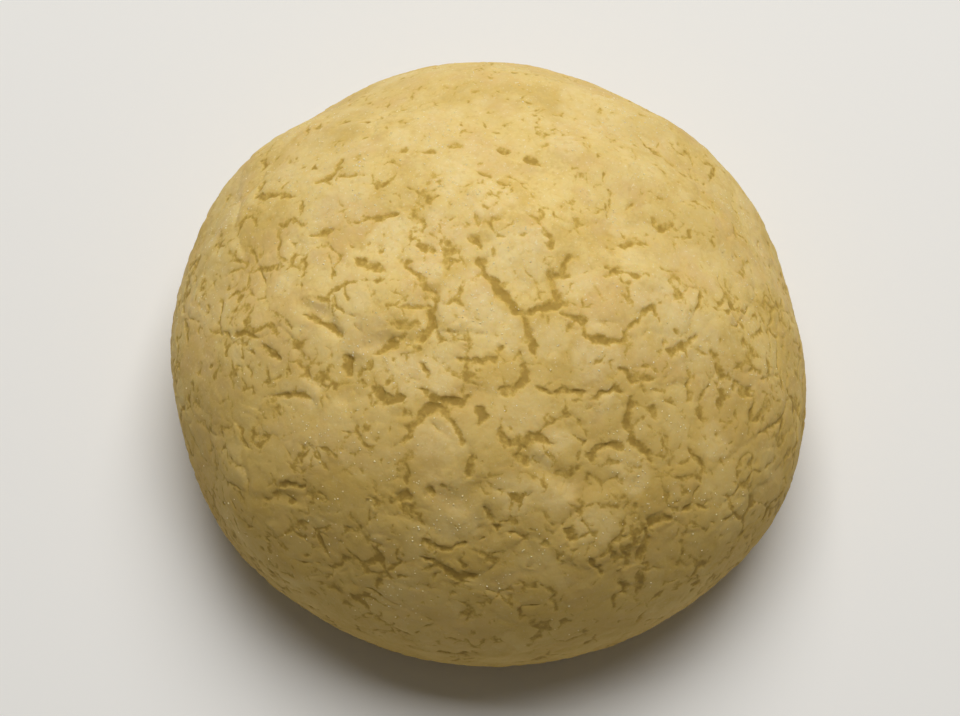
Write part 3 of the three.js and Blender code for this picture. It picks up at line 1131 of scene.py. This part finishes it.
@dataclass(frozen=True)
class CrustBake:
    """How the crust took the oven's heat: its melted sugar and how it browned, with painted shade on its
    front, its sides and its heel. Lengths in millimetres.
    """

    form: BunForm
    patch_bend: Layers = Layers(((1.6, 4.0, 86), (0.6, 1.5, 87)))
    frost_wander: Layers = Layers(((1.0, 8.0, 88), (0.5, 3.0, 89)))
    uneven: Layers = Layers(((3.0, 11.0, 90),))

    def frost(self, points: Array, number: Array) -> Array:
        """Give how frosted with melted sugar each point is.

        Args:
            points: The smooth surface's points.
            number: Each point's plate.

        Returns:
            Numbers from 0 to 1.
        """
        bent = points + self.patch_bend.push(points)
        patch = self.frost_wander.noise(points)
        behind = 0.25 * smoothstep(points[:, 1], 10.0, 40.0)
        frost = behind + 0.6 * smoothstep(patch + 0.9 * scatter(number, 86), 0.5, 1.15)
        for x, y, radius in FROST_PATCHES:
            middle = self.form.points(self.form.direction_above(x, y)[None])
            away = np.linalg.norm(bent - middle, axis=-1)
            frost = np.maximum(frost, 1 - smoothstep(away, 0.75 * radius, 1.25 * radius))
        return frost

    def browning_and_shade(self, points: Array) -> Array:
        """Give how browned and shaded each point is: painted shade a little in front and at the sides, and
        more down at the heel, browned and shaded, and at the browned foot.
        """
        uneven = self.uneven.noise(points)
        # Painted shade on the front, which the key light from behind reaches least.
        front = 0.5 * smoothstep(uneven - points[:, 1], -1.0, 26.0)
        # Painted shade towards the sides.
        around = 0.18 * smoothstep(np.hypot(points[:, 0], points[:, 1]) + uneven, 14.0, 44.0)
        # The heel: baked brown, and painted shade where the floor's bounce light would lighten it.
        heel = 0.52 * (1 - smoothstep(points[:, 2] + uneven, 3.0, 26.0))
        foot = 0.4 * (1 - smoothstep(points[:, 2] + 0.3 * uneven, 0.0, 5.0))
        return np.clip(front + around + heel + foot, 0, 1)


@dataclass
class CookieCrust:
    """The cookie crust that wraps the roll, with its plates, cracks and crumbs. Sizes in millimetres."""

    form: BunForm
    cracks: CrustCracks
    bake: CrustBake
    finish: CrustFinish
    subdivisions: int = 9
    triangles: int = 190_000
    wall: float = 0.3
    named_depth: float = 0.26
    seam_depth: float = 0.15
    short_depth: float = 0.13
    dash_depth: float = 0.09
    pit_depth: float = 0.13
    valley_depth: float = 0.45
    valley_bend: Layers = Layers(((1.2, 4.5, 85),))
    plate_lift: float = 0.22
    plate_tilt: float = 0.08
    roll_reach: float = 1.2
    roll_depth: float = 0.12
    crumb_spacing: float = 4.4
    crumb_height: float = 0.12
    crumb_jag: Layers = Layers(((1.1, 3.0, 79), (0.5, 1.4, 80)))
    crumb_rough: Layers = Layers(((0.045, 1.8, 83), (0.025, 1.0, 84)))
    lip_share: float = 0.87
    lip_wander: float = 1.3
    lip_width: float = 0.8
    recess: float = 1.1

    def build(self) -> bpy.types.Object:
        """Model and dress the crust.

        Returns:
            The crust.
        """
        mesh = sphere_mesh("cookie_crust", self.subdivisions)
        directions = sphere_directions(mesh)
        smooth = self.form.points(directions)
        relief, marks = self.relief(directions, smooth)
        points = smooth + self.form.outward(smooth) * relief[:, None]
        points = self.form.fitted(points)
        points[:, 2] += self.recess * self.under_lip(points)
        write_points(mesh, points)
        for mark, values in marks.items():
            write_mark(mesh, mark, values)
        piece = add_piece("cookie_crust", mesh)
        thin_to(piece, self.triangles)
        lay_bake_map(piece.data, Vector((0, 0, self.form.height / 3 * MM)), 0.4 * MM)
        piece.data.materials.append(self.finish.material())
        return piece

    def relief(self, directions: Array, points: Array) -> tuple[Array, dict[Mark, Array]]:
        """Raise and sink the surface.

        Args:
            directions: Unit rows.
            points: The smooth surface's point for each, in millimetres.

        Returns:
            How far each point moves outward, and the marks for the finish.
        """
        free = self.form.relief_share(directions)
        calm = self.cracks.calmness(points)
        named = self.cracks.named(points)
        number, to_crack, seam = self.cracks.seams(directions, points, named)
        frost = self.bake.frost(points, number)
        ways = (
            (named, self.named_depth),
            (seam + 0.5 * calm, self.seam_depth),
            (self.cracks.short(points, named) + 0.28 * calm + 0.15 * frost, self.short_depth),
            (self.cracks.dashes(points) + 0.15 * calm + 0.25 * frost, self.dash_depth),
            (self.cracks.pits(points) + 0.15 * calm + 0.25 * frost, self.pit_depth),
        )
        sinks = [depth * (1 - smoothstep(way, -self.wall, self.wall)) for way, depth in ways]
        swell = self.form.swell_rise * self.form.swells.at(directions)
        valley = self.valleys(points)
        rise = swell + self.plate_rise(directions, number, to_crack) - self.valley_depth * valley
        fine = self.crumbs(points) - np.max(sinks, axis=0)
        side = np.min([way for way, depth in ways], axis=0)
        # Each plate's own random tone, painted shade darkening the broad valleys, and paler where frosted.
        tone = 0.5 + (scatter(number, 81) - 0.5) * (1 - np.exp(-to_crack / 1.2)) + 0.5 * valley - 0.3 * frost
        marks = {
            Mark.CRACK: np.clip(side, -1.0, self.cracks.furthest),
            Mark.TONE_AND_SHADE: tone,
            Mark.FROST: frost * free,
            # Baked brown and painted shade, less where the sugar has frosted.
            Mark.BROWN: self.bake.browning_and_shade(points) * (1 - 0.3 * frost),
        }
        return rise * free + fine * smoothstep(points[:, 2], 0.3, 5.0), marks

    def crumbs(self, points: Array) -> Array:
        """Give how far the crust's small soft crumbs stand up."""
        cells = Lattice(self.crumb_spacing, 82).cells_around(points + self.crumb_jag.push(points))
        pillow = 1 - np.exp(-cells.to_edge / 0.7)
        rough = self.crumb_rough.noise(points)
        coarser = 1 + 0.3 * (1 - smoothstep(points[:, 2], 16.0, 38.0))
        return coarser * (self.crumb_height * (pillow * (0.6 + 0.8 * cells.draw) - 0.7) + rough)

    def valleys(self, points: Array) -> Array:
        """Say how far inside the broad soft valleys each point is, from 0 to 1."""
        bent = points + self.valley_bend.push(points)
        ways = [valley.way_to_side(self.form, bent, self.cracks.furthest) for valley in VALLEYS]
        return 1 - smoothstep(np.min(ways, axis=0), -1.8, 1.0)

    def plate_rise(self, directions: Array, number: Array, to_crack: Array) -> Array:
        """Lift and tilt each plate a little, and roll its edge down to the crack.

        Args:
            directions: Unit rows.
            number: Each point's plate.
            to_crack: The way to its nearest crack.

        Returns:
            How far each point rises.
        """
        centres = self.cracks.plates.centres
        lift = self.plate_lift * (scatter(number, 61) - 0.5)
        lean = scattered_directions(len(centres), 83)[number]
        offset = (directions - centres[number]) * self.form.radius
        tilt = self.plate_tilt * np.sum(lean * offset, axis=-1) / 5.0
        inner = 1 - np.exp(-to_crack / self.roll_reach)
        return (lift + tilt) * inner - self.roll_depth * (1 - inner)

    def lip_radius(self, azimuth: Array) -> Array:
        """Give the radius of the crust's edge on the underside, at each turn about the up axis."""
        around = np.stack([np.cos(azimuth), np.sin(azimuth), np.zeros_like(azimuth)], axis=-1)
        wander = self.lip_wander * Lattice(0.45, 94).noise(around)
        return self.form.base_radius * self.lip_share * self.form.outline_share(azimuth) + wander

    def under_lip(self, points: Array) -> Array:
        """Say how far inside the crust's lower edge each point is, from 0 to 1."""
        lip = self.lip_radius(np.arctan2(points[:, 1], points[:, 0]))
        radius = np.hypot(points[:, 0], points[:, 1])
        low = 1 - smoothstep(points[:, 2], 1.0, 3.0)
        return low * (1 - smoothstep(radius, lip - self.lip_width, lip))


@dataclass
class BreadBase:
    """The baked underside of the roll, inside the crust's lower edge. Sizes in millimetres."""

    form: BunForm
    crust: CookieCrust
    finish: BaseFinish
    subdivisions: int = 6
    thickness: float = 2.6
    overlap: float = 0.5
    flat_share: float = 0.9
    dent_depth: float = 0.16
    dent_shape: Layers = Layers(((1.0, 4.0, 91), (0.6, 1.6, 92)))

    def build(self) -> bpy.types.Object:
        """Model and dress the underside.

        Returns:
            The underside.
        """
        mesh = sphere_mesh("bread_base", self.subdivisions)
        directions = sphere_directions(mesh)
        azimuth = np.arctan2(directions[:, 1], directions[:, 0])
        reach = self.crust.lip_radius(azimuth) + self.overlap
        half = self.thickness / 2
        outward = 1 - np.abs(2 * polar_angles(directions) / math.pi - 1)
        bend = np.clip((outward - self.flat_share) / (1 - self.flat_share), 0, 1) * math.pi / 2
        radius = (reach - half) * np.minimum(outward / self.flat_share, 1) + half * np.sin(bend)
        rise = half * np.cos(bend) * np.where(directions[:, 2] > 0, 1, -1)
        points = np.stack([radius * np.cos(azimuth), radius * np.sin(azimuth), half + rise], axis=-1)
        bottom = (directions[:, 2] <= 0) & (outward < self.flat_share)
        points[:, 2] += self.dent_depth * np.clip(self.dent_shape.noise(points), 0, 1) * bottom
        write_points(mesh, points)
        # On the underside this mark is baked tan only, towards the rim.
        write_mark(mesh, Mark.BROWN, smoothstep(radius / reach, 0.8, 1.0))
        piece = add_piece("bread_base", mesh)
        lay_bake_map(mesh, Vector((0, 0, half * MM)), half * MM)
        mesh.materials.append(self.finish.material())
        return piece


@dataclass
class SugarCrystals:
    """Sugar crystals pressed into the crust, as one joined mesh. Sizes in millimetres."""

    crust: bpy.types.Object
    finish: SugarFinish
    count: int = 1800
    smallest: float = 0.16
    largest: float = 0.3
    white_share: float = 0.06
    flattest: float = 0.65
    wobble: float = 0.05
    deepest: float = -0.4
    shallowest: float = -0.1
    seed: int = 7

    def build(self) -> bpy.types.Object:
        """Scatter and dress the crystals.

        Returns:
            The crystals.
        """
        draws = np.random.default_rng(self.seed)
        places, normals = self.places(draws)
        template, faces = self.crystal()
        sizes = draws.uniform(self.smallest, self.largest, (self.count, 1))
        shapes = draws.uniform(self.flattest, 1.0, (self.count, 3)) * sizes
        turns = self.turns(draws)
        local = template[None] * shapes[:, None]
        local = local + draws.normal(0, self.wobble, local.shape) * sizes[:, None]
        turned = np.einsum("nij,nkj->nki", turns, local)
        rises = draws.uniform(self.deepest, self.shallowest, (self.count, 1))
        centres = places + normals * sizes * rises
        points = (turned + centres[:, None]).reshape(-1, 3)
        steps = np.arange(self.count)[:, None, None] * len(template)
        mesh = bpy.data.meshes.new("sugar_crystals")
        mesh.from_pydata((points * MM).tolist(), [], (faces[None] + steps).reshape(-1, 4).tolist())
        white = (draws.random(self.count) < self.white_share) * draws.uniform(0.6, 1.0, self.count)
        write_mark(mesh, Mark.CLEAR, np.repeat(white, len(template)))
        piece = add_piece("sugar_crystals", mesh)
        lay_bake_map(mesh, Vector((0, 0, 18 * MM)), -1.0)
        mesh.materials.append(self.finish.material())
        return piece

    def crystal(self) -> tuple[Array, Array]:
        """Make the blocky crystal that every copy starts from.

        Returns:
            Its points, one unit across, and its faces.
        """
        builder = bmesh.new()
        bmesh.ops.create_cube(builder, size=1.0)
        builder.verts.index_update()
        points = np.array([vertex.co[:] for vertex in builder.verts])
        faces = np.array([[vertex.index for vertex in face.verts] for face in builder.faces])
        builder.free()
        return points, faces

    def turns(self, draws: np.random.Generator) -> Array:
        """Draw a random turn for each crystal, as a three by three matrix."""
        axes = draws.normal(size=(self.count, 4))
        w, x, y, z = (axes / np.linalg.norm(axes, axis=-1, keepdims=True)).T
        rows = [
            [1 - 2 * (y * y + z * z), 2 * (x * y - z * w), 2 * (x * z + y * w)],
            [2 * (x * y + z * w), 1 - 2 * (x * x + z * z), 2 * (y * z - x * w)],
            [2 * (x * z - y * w), 2 * (y * z + x * w), 1 - 2 * (x * x + y * y)],
        ]
        return np.array(rows).transpose(2, 0, 1)

    def places(self, draws: np.random.Generator) -> tuple[Array, Array]:
        """Choose places on the crust, more of them where it is frosted and fewer in its cracks.

        Args:
            draws: The stream of random numbers.

        Returns:
            The place and the surface's normal for each crystal.
        """
        mesh = self.crust.data
        points = read_points(mesh) / MM
        corners = np.empty(len(mesh.polygons) * 3, int)
        mesh.polygons.foreach_get("vertices", corners)
        corners = corners.reshape(-1, 3)
        first, second, third = (points[corners[:, side]] for side in range(3))
        cross = np.cross(second - first, third - first)
        area = np.linalg.norm(cross, axis=-1)
        height = (first + second + third)[:, 2] / 3
        frost = read_mark(mesh, Mark.FROST)[corners].mean(axis=1)
        crack = 1 - smoothstep(read_mark(mesh, Mark.CRACK)[corners].mean(axis=1), 0.0, 0.4)
        clumps = np.clip(0.5 + Lattice(7.0, 93).noise(first), 0.05, 1)
        crown = smoothstep(height, 20.0, 42.0)
        wanted = area * (0.35 + 1.6 * frost) * (1 - 0.85 * crack) * clumps * crown
        chosen = draws.choice(len(area), self.count, p=wanted / wanted.sum())
        mix = draws.dirichlet((1, 1, 1), self.count)
        place = first[chosen] * mix[:, :1] + second[chosen] * mix[:, 1:2] + third[chosen] * mix[:, 2:]
        return place, cross[chosen] / area[chosen, None]


# ---------------------------------------------------------------------------------------------------------
# The studio
# ---------------------------------------------------------------------------------------------------------


@dataclass(frozen=True)
class SoftLight:
    """A square soft light that points at the bun. Lengths in metres, angles in degrees."""

    name: str
    azimuth: float
    elevation: float
    distance: float
    size: float
    power: float
    colour: Colour

    def build(self, target: Vector) -> bpy.types.Object:
        """Hang the light and point it at a target."""
        data = bpy.data.lights.new(self.name, "AREA")
        data.shape = "SQUARE"
        data.size = self.size
        data.energy = self.power
        data.color = self.colour
        light = bpy.data.objects.new(self.name, data)
        bpy.context.scene.collection.objects.link(light)
        aim_from(light, target, self.azimuth, self.elevation, self.distance)
        return light


def aim_from(
    thing: bpy.types.Object, target: Vector, azimuth: float, elevation: float, distance: float
) -> None:
    """Stand a light or camera off from a target and turn it to face the target.

    Args:
        thing: The light or camera.
        target: Where it looks, in metres.
        azimuth: Its turn from +X about the up axis, in degrees.
        elevation: Its height above the horizon, in degrees.
        distance: How far off it stands, in metres.
    """
    turn = math.radians(azimuth)
    rise = math.radians(elevation)
    way = Vector((math.cos(rise) * math.cos(turn), math.cos(rise) * math.sin(turn), math.sin(rise)))
    thing.location = target + way * distance
    thing.rotation_euler = way.to_track_quat("Z", "Y").to_euler()


@dataclass(frozen=True)
class Studio:
    """The pale floor, the soft lights and the camera. Lengths in metres, angles in degrees."""

    elevation: float = 70.0
    distance: float = 0.42
    frame_width: float = 0.1629
    aim: tuple[float, float, float] = (-0.0013, -0.0033, 0.0257)
    floor_size: float = 4.0
    floor_colour: Colour = (0.86, 0.86, 0.85)
    sky_strength: float = 0.1
    sky_colour: Colour = (1.0, 0.93, 0.8)
    lights: tuple[SoftLight, ...] = (
        SoftLight("key", 81.0, 64.0, 1.2, 0.9, 14.6, (1.0, 0.985, 0.96)),
    )

    def build(self) -> None:
        """Set the floor, the lights and the camera."""
        aim = Vector(self.aim)
        self.build_floor()
        self.build_sky()
        for light in self.lights:
            light.build(aim)
        self.build_camera(aim)
        bpy.context.scene.view_settings.view_transform = "Standard"

    def build_floor(self) -> None:
        """Lay the floor under the bun."""
        mesh = bpy.data.meshes.new("floor")
        builder = bmesh.new()
        bmesh.ops.create_grid(builder, x_segments=1, y_segments=1, size=self.floor_size / 2)
        builder.to_mesh(mesh)
        builder.free()
        shader = Shader("floor")
        tint = shader.noise(400.0, 1.0).between(0.0, 1.0) * 0.02
        shade = tuple(part * 0.98 for part in self.floor_colour)
        mesh.materials.append(
            shader.finish(Base_Color=shader.blend(tint, self.floor_colour, shade), Roughness=0.9)
        )
        add_piece("floor", mesh)

    def build_sky(self) -> None:
        """Fill the room with even light."""
        world = bpy.data.worlds.new("studio")
        world.use_nodes = True
        background = world.node_tree.nodes["Background"]
        background.inputs["Color"].default_value = (*self.sky_colour, 1.0)
        background.inputs["Strength"].default_value = self.sky_strength
        bpy.context.scene.world = world

    def build_camera(self, target: Vector) -> None:
        """Stand the camera in front of the bun, looking down on its crown."""
        data = bpy.data.cameras.new("camera")
        data.sensor_width = 36.0
        data.lens = data.sensor_width * self.distance / self.frame_width
        data.dof.use_dof = False
        camera = bpy.data.objects.new("camera", data)
        bpy.context.scene.collection.objects.link(camera)
        aim_from(camera, target, -90.0, self.elevation, self.distance)
        bpy.context.scene.camera = camera


def report(piece: bpy.types.Object) -> None:
    """Log a piece's name and its number of triangles."""
    triangles = sum(len(face.vertices) - 2 for face in piece.data.polygons)
    log.info("%s: %d triangles", piece.name, triangles)


def main() -> None:
    """Build the bun's pieces and the studio, and tie the pieces to the frame."""
    logging.basicConfig(level=logging.INFO, format="%(name)s: %(message)s")
    low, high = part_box(CAD_NODE)
    form = BunForm(*((high - low) / MM))
    cracks = CrustCracks(form, PlateMap(form))
    maker = CookieCrust(form, cracks, CrustBake(form), CrustFinish())
    crust = maker.build()
    base = BreadBase(form, maker, BaseFinish()).build()
    sugar = SugarCrystals(crust, SugarFinish()).build()
    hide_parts(CAD_NODE)
    for piece, slot in ((crust, Slot.CRUST), (base, Slot.BASE), (sugar, Slot.SUGAR)):
        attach(piece, BODY)
        report(piece)
    Studio().build()


if __name__ == "__main__":
    main()
